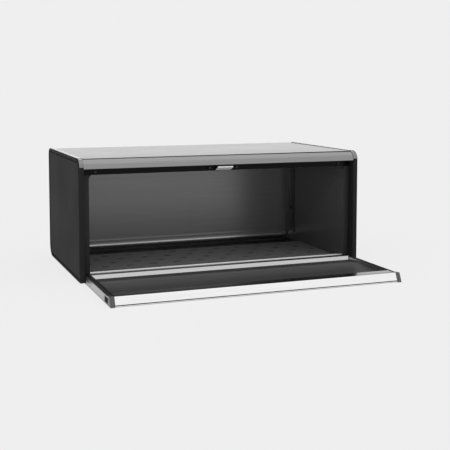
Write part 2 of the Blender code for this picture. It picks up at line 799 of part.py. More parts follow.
def grip_end_cap(name, side, look):
    """Moulded end of the grip, with the door's own edge section."""
    outline = [
        (END_CAP_START, -HALF_DOOR + SHEET + GAP),
        (DOOR_REACH - GRIP_HEM - GAP, -HALF_DOOR + SHEET + GAP),
        (DOOR_REACH - GRIP_HEM + GAP, -HALF_DOOR),
        (DOOR_REACH, -HALF_DOOR),
        (INNER_REACH, HALF_DOOR),
        (END_CAP_START, HALF_DOOR),
    ]
    near, far = sorted((from_side(side, DOOR_SIDE), from_side(side, DOOR_SIDE + END_CAP_WIDTH)))
    return prism_x(name, in_door(outline), near, far, look)


def door_side_rail(name, side, look):
    """Folded steel channel along one side of the door, with a window for the rubber bumper."""
    low = -HALF_DOOR + SHEET + GAP
    high = HALF_DOOR - SEAL_WALL - GAP
    near, far = from_side(side, DOOR_SIDE), from_side(side, STRIP_EDGE)
    path = [(near, low), (near, high), (far, high), (far, low)]
    outline = sheet(path, SHEET * -side)
    start, end = -(BLOCK_TAIL + GAP), -(END_CAP_START - GAP)
    rail = prism_y(name, outline, end, start, look)
    centre_y, centre_z = bumper_centre()
    half_length = BUMPER_LENGTH / 2 + GAP
    half_height = BUMPER_HEIGHT / 2 + GAP
    low = (near - SIDE_STRIP / 2, centre_y - half_length, centre_z - half_height)
    high = (near + SIDE_STRIP / 2, centre_y + half_length, centre_z + half_height)
    return cut(rail, block(name + "_window", low, high, None))


def bumper_centre():
    """(y, z) about the hinge axis of the middle of a bumper, near the end cap."""
    return -(END_CAP_START - BUMPER_LENGTH / 2 - BUMPER_END_SPACE), -SHEET


def door_bumper(name, side, look):
    """Rubber block in the side rail's window, its outer face just inside the rail's."""
    centre_y, centre_z = bumper_centre()
    near, far = sorted((from_side(side, DOOR_SIDE + GAP), from_side(side, DOOR_SIDE + SIDE_STRIP / 2)))
    low = (near, centre_y - BUMPER_LENGTH / 2, centre_z - BUMPER_HEIGHT / 2)
    high = (far, centre_y + BUMPER_LENGTH / 2, centre_z + BUMPER_HEIGHT / 2)
    return soften(block(name, low, high, look), BUMPER_ROUND)


def door_seal(name, side, look):
    """Flat black strip along one side of the inner face, beside the rail's bare edge."""
    near, far = sorted((from_side(side, DOOR_SIDE + SEAL_INSET), from_side(side, STRIP_EDGE)))
    low = (near, -(END_CAP_START - GAP), HALF_DOOR - SEAL_WALL)
    high = (far, -(DOOR_FLOAT + GAP), HALF_DOOR)
    return block(name, low, high, look)


def hinge_block(name, side, look):
    """Bearing block inside the rolled end of the door."""
    near, far = sorted((from_side(side, DOOR_SIDE), from_side(side, DOOR_SIDE + BLOCK_LENGTH)))
    made = prism_x(name, in_door(half_round(BLOCK_RADIUS, BLOCK_TAIL, MEDIUM)), near, far, look)
    place = ((near + far) / 2, 0, 0)
    bore = rod_cutter(name + "_bore", BUSH_RADIUS + GAP, 2 * BLOCK_LENGTH, place, ALONG_X)
    cut(made, bore)
    return made, bore


def hinge_bush(name, side, look):
    """Plain bearing in the block, running on the pin."""
    inner = PIN_RADIUS + PIN_CLEARANCE
    half_length = BLOCK_LENGTH / 2 - GAP
    profile = [
        (inner, -half_length),
        (BUSH_RADIUS, -half_length),
        (BUSH_RADIUS, half_length),
        (inner, half_length),
    ]
    made = turned(name, profile, look, ring=True)
    made.rotation_euler = ALONG_X
    made.location = (from_side(side, DOOR_SIDE + BLOCK_LENGTH / 2), 0, 0)
    return made


def hinge_pin(name, side, look):
    """Fixed pin in the side panel, reaching into the door."""
    start = PANEL_WALL + GAP
    half_length = (PIN_REACH - start) / 2
    profile = [
        (0, -half_length),
        (PIN_RADIUS - PIN_NOSE, -half_length),
        (PIN_RADIUS, -half_length + PIN_NOSE),
        (PIN_RADIUS, half_length - PIN_NOSE),
        (PIN_RADIUS - PIN_NOSE, half_length),
        (0, half_length),
    ]
    made = turned(name, profile, look)
    made.rotation_euler = ALONG_X
    made.location = (from_side(side, (PIN_REACH + start) / 2), FRONT_Y + HINGE_SETBACK, HINGE_HEIGHT)
    return made


# ---------------------------------------------------------------- assembly

def clear_scene():
    for old in list(bpy.data.objects):
        bpy.data.objects.remove(old)


def build_casing(black, gloss_black, steel, dark_steel, rubber, bright):
    casing_shell(steel)
    header_rail(gloss_black)
    front_sill(steel)
    base_pan(dark_steel)
    floor_tray(black)
    magnet_housing(gloss_black)
    magnet(bright)
    for name, x, z in screw_places():
        header_screw(name, x, z, bright)
    for word, side in SIDES:
        side_panel(f"side_panel_{word}", side, black)
        rim_trim(f"rim_trim_{word}", side, steel)
        side_liner(f"side_liner_{word}", side, gloss_black)
        rear_corner_strip(f"rear_corner_strip_{word}", side, dark_steel)
        strip_rivet(f"strip_rivet_{word}", side, steel)
        for place, depth in (("front", FOOT_FRONT), ("rear", FOOT_BACK)):
            foot(f"foot_{place}_{word}", side, depth, rubber)
        hinge_pin(f"hinge_pin_{word}", side, bright)


def build_door(black, grey, steel, rubber, bright):
    """Every door piece hangs from an empty on the hinge axis."""
    axis = bpy.data.objects.new("door_axis", None)
    axis.location = (0, FRONT_Y + HINGE_SETBACK, HINGE_HEIGHT)
    bpy.context.scene.collection.objects.link(axis)
    before = set(bpy.data.objects)
    door_skin(steel)
    door_hinge_rail(steel)
    door_inner_panel(black)
    door_front_rail(steel)
    grip_strip(bright)
    for word, side in SIDES:
        grip_end_cap(f"grip_end_cap_{word}", side, grey)
        door_side_rail(f"door_side_rail_{word}", side, steel)
        door_bumper(f"door_bumper_{word}", side, rubber)
        door_seal(f"door_seal_{word}", side, black)
        hinge_block(f"hinge_block_{word}", side, black)
        hinge_bush(f"hinge_bush_{word}", side, grey)
    for made in set(bpy.data.objects) - before:
        made.parent = axis


def main():
    clear_scene()
    black = material("matte_black_plastic", (0.035, 0.035, 0.036), 0.45, 0.0)
    gloss_black = material("gloss_black_plastic", (0.018, 0.018, 0.019), 0.22, 0.0)
    grey = material("grey_plastic", (0.18, 0.18, 0.185), 0.40, 0.0)
    steel = material("brushed_steel", (0.55, 0.55, 0.55), 0.28, 1.0)
    dark_steel = material("dark_steel", (0.16, 0.16, 0.165), 0.35, 1.0)
    bright = material("bright_steel", (0.85, 0.85, 0.85), 0.18, 1.0)
    rubber = material("black_rubber", (0.012, 0.012, 0.012), 0.70, 0.0)
    build_casing(black, gloss_black, steel, dark_steel, rubber, bright)
    build_door(black, grey, steel, rubber, bright)


main()
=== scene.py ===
"""Looks of the bread bin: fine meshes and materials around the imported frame, on a pale studio floor.

Metres, in the frame's own axes: the bin opens towards -Y and stands on Z = 0.
"""

import json
import math

import bmesh
import bpy
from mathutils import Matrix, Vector


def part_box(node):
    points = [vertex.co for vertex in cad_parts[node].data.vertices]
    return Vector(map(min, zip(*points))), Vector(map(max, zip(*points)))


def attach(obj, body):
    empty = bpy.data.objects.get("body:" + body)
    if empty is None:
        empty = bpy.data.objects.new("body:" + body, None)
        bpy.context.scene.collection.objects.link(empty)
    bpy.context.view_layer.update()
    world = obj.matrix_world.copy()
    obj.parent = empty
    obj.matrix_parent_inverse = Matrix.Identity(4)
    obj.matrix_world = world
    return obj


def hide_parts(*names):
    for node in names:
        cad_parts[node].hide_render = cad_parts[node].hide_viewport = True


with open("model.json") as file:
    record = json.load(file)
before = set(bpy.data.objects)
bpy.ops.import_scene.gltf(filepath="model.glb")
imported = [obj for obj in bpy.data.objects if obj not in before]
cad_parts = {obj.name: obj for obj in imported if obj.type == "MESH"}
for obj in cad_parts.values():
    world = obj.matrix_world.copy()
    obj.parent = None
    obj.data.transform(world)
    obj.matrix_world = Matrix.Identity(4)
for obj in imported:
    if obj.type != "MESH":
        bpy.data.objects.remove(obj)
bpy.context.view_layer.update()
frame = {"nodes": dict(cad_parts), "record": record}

SIDES = (("left", -1), ("right", 1))
LOW, HIGH = 0, 1

# ---------------------------------------------------------------- sizes read from the frame

casing_low, casing_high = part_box("casing_shell")
panel_low, panel_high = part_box("side_panel_left")
right_panel_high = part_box("side_panel_right")[HIGH]
liner_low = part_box("side_liner_left")[LOW]
rail_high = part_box("header_rail")[HIGH]
tray_low, tray_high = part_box("floor_tray")
skin_low, skin_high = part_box("door_skin")
seal_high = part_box("door_seal_left")[HIGH]
door_panel_low, door_panel_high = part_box("door_inner_panel")
front_rail_low, front_rail_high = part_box("door_front_rail")
hinge_rail_low, hinge_rail_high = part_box("door_hinge_rail")
strip_low, strip_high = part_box("grip_strip")
hinge = Vector(frame["record"]["behaviour"]["joints"][0]["pos_m"])

HALF = right_panel_high.x
FRONT = panel_low.y
BACK = panel_high.y
BOTTOM = panel_low.z
TOP = panel_high.z
RIM_PROUD = TOP - casing_high.z
HALF_DOOR = skin_high.z - hinge.z
DOOR_REACH = hinge.y - strip_low.y

# Sizes that the frame's boxes do not give.
SHEET = 0.0008
GAP = 0.0003
R_TOP_FRONT = 0.015
R_TOP_REAR = 0.011
R_BOTTOM_REAR = 0.022
R_BOTTOM_FRONT = 0.003
RIVET_DOME = 0.0014
SCREW_HEAD = 0.0011
LEAST_RADIUS = 0.0002
PANEL_EDGE = 0.008
TRIM_START = math.radians(8)
TRIM_SIDE = 0.0016
PANEL_WALL = 0.0025
PANEL_RIM = 0.0045
PANEL_LIP = 0.0025
RIM_ROUND = 0.0020
FIELD_DROP = 0.0006
GROOVE_DROP = 0.0020
GROOVE_WIDTH = 0.0014
LIP_RETURN = 0.0048
RECESS = 0.0053
RECESS_FOLD = 0.0006
FRONT_RAIL_FOOT = 0.010
GRIP_BEVEL = 0.0062
GRIP_SHEET = 0.0010
GRIP_HEM = 0.010
HEM_LIFT = 0.0024
HEM_DEPTH = 0.0009
HEM_WIDTH = 0.0013
PANEL_GROOVE = 0.032
PANEL_RIDGE = 0.052
PAN_ROUND = 0.0145
PAN_UPSTAND = 0.0096
QUARTER = 20
FOLD_STEPS = 5

# How far a face's normal has to point along an axis, for the faces that take a second material: a painted
# highlight or a painted shade.
LEANING = 0.3
NEARLY_LEVEL = 0.9
NEARLY_FLAT_ON = 0.97


# ---------------------------------------------------------------- outlines

def arc_points(before, corner, after, radius, steps):
    """Points of the round that replaces a corner, from the side of before to the side of after."""
    corner = Vector(corner)
    into = (Vector(before) - corner).normalized()
    out = (Vector(after) - corner).normalized()
    half_angle = into.angle(out) / 2
    centre = corner + (into + out).normalized() * (radius / math.sin(half_angle))
    start = corner + into * (radius / math.tan(half_angle)) - centre
    turn = math.pi - 2 * half_angle
    if into.x * out.y - into.y * out.x > 0:
        turn = -turn
    points = []
    for step in range(steps + 1):
        angle = turn * step / steps
        x = start.x * math.cos(angle) - start.y * math.sin(angle)
        y = start.x * math.sin(angle) + start.y * math.cos(angle)
        points.append((centre.x + x, centre.y + y))
    return points


def rounded(corners, closed=True):
    """Outline through corners given as (a, b) or (a, b, radius) or (a, b, radius, steps)."""
    points = []
    last = len(corners) - 1
    for index, corner in enumerate(corners):
        is_end = not closed and index in (0, last)
        if len(corner) == 2 or is_end:
            points.append(tuple(corner[:2]))
            continue
        steps = corner[3] if len(corner) > 3 else FOLD_STEPS
        before = corners[index - 1][:2]
        after = corners[(index + 1) % len(corners)][:2]
        points += arc_points(before, corner[:2], after, corner[2], steps)
    return points


def sheet(corners, thickness):
    """(outer path, inner path) of a bent sheet; the inner one lies to the right of the outer one."""
    path = [Vector(point) for point in rounded(corners, closed=False)]
    inner = []
    for index, point in enumerate(path):
        into = (point - path[max(index - 1, 0)]).normalized()
        out = (path[min(index + 1, len(path) - 1)] - point).normalized()
        into = into if into.length else out
        out = out if out.length else into
        right_in = Vector((into.y, -into.x))
        right_out = Vector((out.y, -out.x))
        along = (right_in + right_out).normalized()
        inner.append(point + along * (thickness / along.dot(right_in)))
    return [tuple(point) for point in path], [tuple(point) for point in inner]


def in_frame(outline):
    """(depth behind the front, height) to (y, z)."""
    return [(FRONT + depth, height) for depth, height in outline]


def in_door(outline):
    """(reach from the hinge axis, lift above it) to (y, z), with the door open."""
    return [(hinge.y - reach, hinge.z + lift) for reach, lift in outline]


def casing_outline(inset, front=None):
    """The bin's side outline in (y, z), moved inwards; the front may move further."""
    front = inset if front is None else front
    deeper = max(inset, front)
    depth = BACK - FRONT
    return in_frame(rounded([
        (front, BOTTOM + inset, max(R_BOTTOM_FRONT - deeper, LEAST_RADIUS), QUARTER),
        (depth - inset, BOTTOM + inset, max(R_BOTTOM_REAR - inset, LEAST_RADIUS), QUARTER),
        (depth - inset, TOP - inset, max(R_TOP_REAR - inset, LEAST_RADIUS), QUARTER),
        (front, TOP - inset, max(R_TOP_FRONT - deeper, LEAST_RADIUS), QUARTER),
    ]))


# ---------------------------------------------------------------- meshes

def made_object(name, bm, materials, smooth_angle=35):
    bmesh.ops.remove_doubles(bm, verts=bm.verts, dist=1e-6)
    bmesh.ops.recalc_face_normals(bm, faces=bm.faces)
    mesh = bpy.data.meshes.new(name)
    bm.to_mesh(mesh)
    bm.free()
    mesh.shade_smooth()
    mesh.set_sharp_from_angle(angle=math.radians(smooth_angle))
    made = bpy.data.objects.new(name, mesh)
    for one in materials:
        mesh.materials.append(one)
    bpy.context.scene.collection.objects.link(made)
    return made


def loft(name, rings, materials, inner_from=None):
    """Closed body through rings of equal length; sides from index inner_from on take the second material."""
    bm = bmesh.new()
    rows = [[bm.verts.new(point) for point in ring] for ring in rings]
    count = len(rows[0])
    for lower, upper in zip(rows, rows[1:]):
        for index in range(count):
            after = (index + 1) % count
            face = bm.faces.new((lower[index], lower[after], upper[after], upper[index]))
            if inner_from is not None and index >= inner_from:
                face.material_index = 1
    for cap in (bm.faces.new(rows[0]), bm.faces.new(rows[-1])):
        bmesh.ops.triangulate(bm, faces=[cap])
    return made_object(name, bm, materials)


def bent_sheet(name, paths, start, end, materials):
    """Sheet carried along X; its inner side takes the second material if there is one."""
    outer, inner = paths
    outline = outer + list(reversed(inner))
    rings = [[(x, y, z) for y, z in outline] for x in (start, end)]
    inner_from = len(outer) if len(materials) > 1 else None
    return loft(name, rings, materials, inner_from)


def prism_x(name, outline, start, end, materials):
    return loft(name, [[(x, y, z) for y, z in outline] for x in (start, end)], materials)


def turned(name, profile, materials, steps=48):
    """Profile of (radius, z) turned about Z."""
    bm = bmesh.new()
    rows = []
    for radius, z in profile:
        if radius == 0:
            rows.append([bm.verts.new((0, 0, z))])
            continue
        angles = [2 * math.pi * step / steps for step in range(steps)]
        rows.append([bm.verts.new((radius * math.cos(a), radius * math.sin(a), z)) for a in angles])
    for lower, upper in zip(rows, rows[1:]):
        for step in range(steps):
            after = (step + 1) % steps
            corners = [lower[step % len(lower)], lower[after % len(lower)]]
            corners += [upper[after % len(upper)], upper[step % len(upper)]]
            bm.faces.new(list(dict.fromkeys(corners)))
    return made_object(name, bm, materials)


def apply_modifiers(made):
    graph = bpy.context.evaluated_depsgraph_get()
    mesh = bpy.data.meshes.new_from_object(made.evaluated_get(graph))
    made.modifiers.clear()
    made.data = mesh
    return made


def eased(made, width, segments=3, angle=40):
    """Small rounds on the sharp edges, applied to the mesh."""
    step = made.modifiers.new("ease", "BEVEL")
    step.width = width
    step.segments = segments
    step.limit_method = "ANGLE"
    step.angle_limit = math.radians(angle)
    step.harden_normals = False
    apply_modifiers(made)
    made.data.shade_smooth()
    made.data.set_sharp_from_angle(angle=math.radians(35))
    return made


def cut_with(made, cutter):
    """Removes a cutter's volume from a piece and deletes the cutter."""
    step = made.modifiers.new("cut", "BOOLEAN")
    step.object = cutter
    step.solver = "MANIFOLD"
    apply_modifiers(made)
    bpy.data.objects.remove(cutter)
    made.data.shade_smooth()
    made.data.set_sharp_from_angle(angle=math.radians(35))
    return made


def fine_copy(node, materials, width=0.0003, segments=3):
    """A node's own shape as a new piece, with its flat faces merged and its edges eased."""
    bm = bmesh.new()
    bm.from_mesh(frame["nodes"][node].data)
    bmesh.ops.remove_doubles(bm, verts=bm.verts, dist=1e-6)
    bmesh.ops.dissolve_limit(bm, angle_limit=math.radians(1), verts=bm.verts, edges=bm.edges)
    made = made_object(node + "_fine", bm, materials)
    for face in made.data.polygons:
        face.material_index = 0
    return eased(made, width, segments) if width else made


def place(made, node, body=None):
    """The piece stands for a node, moves with the node's body and hides the node."""
    record = frame["record"]
    bodies = record["behaviour"]["bodies"]
    body = body or next(name for name, nodes in bodies.items() if node in nodes)
    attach(made, body)
    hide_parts(node)
    return made


# ---------------------------------------------------------------- materials

def new_material(name, colour, roughness, metallic):
    made = bpy.data.materials.new(name)
    made.use_nodes = True
    shader = made.node_tree.nodes["Principled BSDF"]
    shader.inputs["Base Color"].default_value = (*colour, 1)
    shader.inputs["Roughness"].default_value = roughness
    shader.inputs["Metallic"].default_value = metallic
    return made, made.node_tree, shader


def noise(tree, scale, stretch=(1, 1, 1), detail=3.0):
    """Noise in the object's own metres, stretched by a scale on each axis."""
    place_node = tree.nodes.new("ShaderNodeTexCoord")
    mapping = tree.nodes.new("ShaderNodeMapping")
    mapping.inputs["Scale"].default_value = stretch
    texture = tree.nodes.new("ShaderNodeTexNoise")
    texture.inputs["Scale"].default_value = scale
    texture.inputs["Detail"].default_value = detail
    tree.links.new(place_node.outputs["Object"], mapping.inputs["Vector"])
    tree.links.new(mapping.outputs["Vector"], texture.inputs["Vector"])
    return texture.outputs["Fac"]


def ranged(tree, source, low, high):
    """The source's middle half spread over low to high."""
    node = tree.nodes.new("ShaderNodeMapRange")
    node.inputs["From Min"].default_value = 0.3
    node.inputs["From Max"].default_value = 0.7
    node.inputs["To Min"].default_value = low
    node.inputs["To Max"].default_value = high
    tree.links.new(source, node.inputs["Value"])
    return node.outputs["Result"]


def tinted(tree, source, low, high):
    """Colour from low to high along the source."""
    ramp = tree.nodes.new("ShaderNodeValToRGB")
    ramp.color_ramp.elements[0].position = 0.3
    ramp.color_ramp.elements[1].position = 0.7
    ramp.color_ramp.elements[0].color = (*low, 1)
    ramp.color_ramp.elements[1].color = (*high, 1)
    tree.links.new(source, ramp.inputs["Fac"])
    return ramp.outputs["Color"]


def bumped(tree, shader, source, strength, distance):
    bump = tree.nodes.new("ShaderNodeBump")
    bump.inputs["Strength"].default_value = strength
    bump.inputs["Distance"].default_value = distance
    tree.links.new(source, bump.inputs["Height"])
    tree.links.new(bump.outputs["Normal"], shader.inputs["Normal"])


def shade_of(colour, factor):
    return tuple(min(part * factor, 1.0) for part in colour)


def brushed_metal(name, colour, roughness, lines=1.0, metallic=1.0):
    """Satin metal with fine brush lines along X and a slow cloud in its shine."""
    made, tree, shader = new_material(name, colour, roughness, metallic)
    brush = noise(tree, 1.0, (9, 1500, 1500), 2.0)
    cloud = noise(tree, 14.0, (1, 1, 1), 2.0)
    tint = tinted(tree, brush, shade_of(colour, 0.94), shade_of(colour, 1.05))
    tree.links.new(tint, shader.inputs["Base Color"])
    spread = 0.08 * lines
    shine = ranged(tree, cloud, roughness * (1 - spread), roughness * (1 + spread))
    tree.links.new(shine, shader.inputs["Roughness"])
    bumped(tree, shader, brush, 0.10 * lines, 0.00002)
    return made


def moulded_plastic(name, colour, roughness, grain, specular=0.5, bump=0.25):
    """Moulded plastic with a fine spark-eroded grain and a slow variation in its shine."""
    made, tree, shader = new_material(name, colour, roughness, 0.0)
    shader.inputs["Specular IOR Level"].default_value = specular
    fine = noise(tree, grain, (1, 1, 1), 4.0)
    cloud = noise(tree, 9.0, (1, 1, 1), 2.0)
    tint = tinted(tree, fine, shade_of(colour, 0.86), shade_of(colour, 1.12))
    shine = ranged(tree, cloud, roughness * 0.93, roughness * 1.07)
    tree.links.new(tint, shader.inputs["Base Color"])
    tree.links.new(shine, shader.inputs["Roughness"])
    bumped(tree, shader, fine, bump, 0.00006)
    return made


def graded_plastic(name, stops, roughness, grain, specular):
    """Moulded plastic whose tone follows the reach across the open door, given as (reach, tone) stops:
    painted light and shade.
    """
    made = moulded_plastic(name, (1, 1, 1), roughness, grain, specular, 0.12)
    tree = made.node_tree
    shader = tree.nodes["Principled BSDF"]
    grained = shader.inputs["Base Color"].links[0].from_socket
    coords = tree.nodes.new("ShaderNodeTexCoord")
    split = tree.nodes.new("ShaderNodeSeparateXYZ")
    across = tree.nodes.new("ShaderNodeMapRange")
    across.inputs["From Min"].default_value = hinge.y
    across.inputs["From Max"].default_value = hinge.y - DOOR_REACH
    ramp = tree.nodes.new("ShaderNodeValToRGB")
    elements = ramp.color_ramp.elements
    while len(elements) < len(stops):
        elements.new(1.0)
    for element, (reach, tone) in zip(elements, stops):
        element.position = reach / DOOR_REACH
        element.color = (tone, tone, tone * 1.01, 1)
    both = tree.nodes.new("ShaderNodeMix")
    both.data_type = "RGBA"
    both.blend_type = "MULTIPLY"
    both.inputs["Factor"].default_value = 1.0
    tree.links.new(coords.outputs["Object"], split.inputs["Vector"])
    tree.links.new(split.outputs["Y"], across.inputs["Value"])
    tree.links.new(across.outputs["Result"], ramp.inputs["Fac"])
    tree.links.new(ramp.outputs["Color"], both.inputs[6])
    tree.links.new(grained, both.inputs[7])
    tree.links.new(both.outputs[2], shader.inputs["Base Color"])
    return made


# Painted light across the door panel: a painted highlight from just past the groove over the ridge, and
# painted shade falling towards the free edge.
DOOR_PAINTED_LIGHT_STOPS = ((0.0, 0.062), (0.033, 0.062), (0.037, 0.135), (0.060, 0.105), (0.090, 0.065), (0.130, 0.048))

LOOKS = {
    "steel": brushed_metal("satin_steel_outer", (0.300, 0.300, 0.300), 0.16),
    "rim": brushed_metal("satin_rim_trim", (0.25, 0.25, 0.25), 0.28),
    # Darker copy of the steel for inner sides and upright pan faces: a painted shade.
    "inner_steel": brushed_metal("steel_inner_painted_shade", (0.225, 0.225, 0.225), 0.28, 0.15, 0.5),
    # Lighter copy of the steel for the inner pan: painted light.
    "pan_steel": brushed_metal("steel_pan_painted_light", (0.40, 0.40, 0.40), 0.22),
    # Slightly darker copy of the steel for the door's front channel: painted shade.
    "door_steel": brushed_metal("steel_door_painted_shade", (0.29, 0.29, 0.29), 0.20),
    # Lighter copy of the steel for the door's hinge side fold: painted light.
    "fold_steel": brushed_metal("steel_fold_painted_light", (0.49, 0.49, 0.49), 0.16),
    # Lighter copy of the steel for the front sill: painted light.
    "sill_steel": brushed_metal("steel_sill_painted_light", (0.60, 0.60, 0.60), 0.32),
    # Lighter copy of the steel for the door's side rails: painted light.
    "rail_steel": brushed_metal("steel_side_rail_painted_light", (0.40, 0.40, 0.40), 0.30),
    "strip_steel": brushed_metal("dark_lacquered_strip", (0.11, 0.11, 0.112), 0.35),
    # Bright steel of the grip strip, also used as the painted highlight on the rim strips' tops and outer
    # edges.
    "trim": brushed_metal("bright_trim", (0.97, 0.97, 0.97), 0.18),
    "nickel": brushed_metal("nickel_plate", (0.90, 0.90, 0.89), 0.45, 0.3, 0.15),
    "fastener": brushed_metal("dark_zinc_fastener", (0.05, 0.05, 0.052), 0.32, 0.3),
    "black": moulded_plastic("matte_black_plastic", (0.022, 0.022, 0.023), 0.60, 2600.0, 0.03),
    "tray": moulded_plastic("floor_plastic", (0.230, 0.230, 0.232), 0.42, 1800.0, 0.30),
    "tray_mark": moulded_plastic("floor_mark_painted_shade", (0.125, 0.125, 0.127), 0.50, 1800.0, 0.15),
    "door_panel": graded_plastic("door_panel_painted_light", DOOR_PAINTED_LIGHT_STOPS, 0.40, 2200.0, 0.1),
    "hem": brushed_metal("shaded_hem", (0.16, 0.16, 0.16), 0.40, 0.3),
    "gloss": moulded_plastic("rail_black_plastic", (0.005, 0.005, 0.005), 0.30, 2200.0, 0.08, 0.08),
    "jamb": moulded_plastic("jamb_painted_shade_plastic", (0.030, 0.030, 0.030), 0.40, 2200.0, 0.10, 0.08),
    "liner": moulded_plastic("liner_black_plastic", (0.088, 0.088, 0.089), 0.34, 2200.0, 0.45, 0.10),
    "grey": moulded_plastic("grey_plastic", (0.088, 0.088, 0.091), 0.35, 2400.0, 0.4, 0.15),
    "seal": moulded_plastic("black_edge_strip", (0.012, 0.012, 0.012), 0.45, 2000.0, 0.3),
    "rubber": moulded_plastic("black_rubber", (0.010, 0.010, 0.010), 0.65, 1500.0, 0.05, 0.4),
}


# ---------------------------------------------------------------- casing pieces

def casing_sheet():
    """Steel wrap: lip, header round, top, back and bottom, satin outside, and darker inside as a painted
    shade.
    """
    bottom = casing_low.z
    back = casing_high.y - FRONT
    casing_front = rail_high.y - FRONT + GAP
    lip_edge = TOP - R_TOP_FRONT - SHEET - GAP * 2 / 3
    path = [
        (RIM_PROUD + LIP_RETURN, lip_edge),
        (RIM_PROUD, lip_edge, SHEET + GAP / 3, FOLD_STEPS),
        (RIM_PROUD, casing_high.z, R_TOP_FRONT - RIM_PROUD, QUARTER),
        (back, casing_high.z, R_TOP_REAR - RIM_PROUD, QUARTER),
        (back, bottom, R_BOTTOM_REAR - RIM_PROUD, QUARTER),
        (casing_front, bottom),
    ]
    outer, inner = sheet(path, SHEET)
    paths = (in_frame(outer), in_frame(inner))
    looks = [LOOKS["steel"], LOOKS["inner_steel"]]
    made = bent_sheet("casing_sheet", paths, casing_low.x, casing_high.x, looks)
    place(made, "casing_shell")


def inner_pan():
    """Steel pan with a wide round up to its rear flange, and a tight fold inside the sill; the pan takes a
    lighter copy of the steel as painted light, and its upright faces the darker inner steel as painted
    shade.
    """
    low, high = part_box("base_pan")
    path = [
        (high.y - FRONT, high.z),
        (high.y - FRONT, low.z, PAN_ROUND, QUARTER),
        (low.y - FRONT, low.z, SHEET * 2),
        (low.y - FRONT, low.z + PAN_UPSTAND),
    ]
    outer, inner = sheet(path, SHEET)
    looks = [LOOKS["pan_steel"], LOOKS["inner_steel"]]
    made = bent_sheet("inner_pan", (in_frame(outer), in_frame(inner)), low.x, high.x, looks)
    # Upright faces take the darker inner steel as painted shade; the others take the lighter pan steel as
    # painted light.
    for face in made.data.polygons:
        is_upright = abs(face.normal.y) > NEARLY_FLAT_ON
        face.material_index = 1 if is_upright else 0
    place(made, "base_pan")


def rim_strip(word, side):
    """Strip let into the side panel's rim, with a painted highlight of bright trim on its top and outer
    edge, and eased edges.
    """
    low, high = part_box(f"rim_trim_{word}")
    angles = [TRIM_START + (math.radians(90) - TRIM_START) * step / QUARTER for step in range(QUARTER + 1)]
    path = [(R_TOP_FRONT * (1 - math.cos(a)), TOP - R_TOP_FRONT * (1 - math.sin(a))) for a in angles]
    path.append((high.y - FRONT, TOP))
    outer, inner = sheet(path, SHEET)
    outline = in_frame(outer) + list(reversed(in_frame(inner)))
    made = prism_x(f"rim_strip_{word}", outline, low.x, high.x, [LOOKS["rim"], LOOKS["trim"]])
    eased(made, SHEET * 0.35)
    # Top and outward faces take the bright trim: a painted highlight.
    for face in made.data.polygons:
        takes_painted_highlight = face.normal.x * side > LEANING or face.normal.z > NEARLY_LEVEL
        face.material_index = 1 if takes_painted_highlight else 0
    place(made, f"rim_trim_{word}")


def side_panel_piece(word, side):
    """Moulded side: full round on the rim, a fine groove, a flat field, and the locating spigot."""
    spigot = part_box(f"side_panel_{word}")
    reach = spigot[HIGH].x - spigot[LOW].x
    inner_inset = RIM_PROUD + SHEET + GAP
    spigot_front = rail_high.y - FRONT + GAP
    groove = PANEL_RIM + GROOVE_WIDTH

    def ring(distance, inset, front=None):
        return [(side * (HALF - distance), y, z) for y, z in casing_outline(inset, front)]

    rings = [
        ring(FIELD_DROP, groove + GROOVE_WIDTH * 2 / 3),
        ring(FIELD_DROP, groove + GROOVE_WIDTH / 2),
        ring(GROOVE_DROP, groove),
        ring(GROOVE_DROP, PANEL_RIM),
        ring(FIELD_DROP / 3, PANEL_RIM - GROOVE_WIDTH / 3),
        ring(0, PANEL_RIM - GROOVE_WIDTH),
    ]
    for step in range(9):
        angle = math.radians(90) * step / 8
        rings.append(ring(RIM_ROUND * (1 - math.cos(angle)), RIM_ROUND * (1 - math.sin(angle))))
    edge_round = 0.0004
    rings += [
        ring(PANEL_EDGE - edge_round, 0),
        ring(PANEL_EDGE - edge_round * 0.3, edge_round * 0.3),
        ring(PANEL_EDGE, edge_round),
        ring(PANEL_EDGE, inner_inset, spigot_front),
        ring(reach, inner_inset, spigot_front),
        ring(reach, inner_inset + PANEL_LIP, spigot_front + PANEL_LIP),
        ring(PANEL_WALL, inner_inset + PANEL_LIP, spigot_front + PANEL_LIP),
    ]
    made = loft(f"side_moulding_{word}", rings, [LOOKS["black"]])
    cut_with(made, trim_rebate(side))
    place(made, f"side_panel_{word}")


def trim_rebate(side):
    """Cutter for the rim strip's seat, open outwards and towards the steel top."""
    start = TRIM_START - GAP / R_TOP_FRONT
    angles = [start + (math.radians(90) - start) * step / QUARTER for step in range(QUARTER + 1)]
    path = [(R_TOP_FRONT * (1 - math.cos(a)), TOP - R_TOP_FRONT * (1 - math.sin(a))) for a in angles]
    path.append((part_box("rim_trim_left")[HIGH].y - FRONT + GAP, TOP))
    inner = sheet(path, SHEET + GAP)[1]
    beyond = PANEL_EDGE / 2
    around = [(-beyond, path[0][1]), (-beyond, TOP + beyond), (path[-1][0], TOP + beyond)]
    outline = list(reversed(inner)) + around
    near, far = sorted((side * (HALF - TRIM_SIDE + GAP), side * (HALF - PANEL_EDGE - GAP)))
    return prism_x("trim_rebate", in_frame(outline), near, far, [])


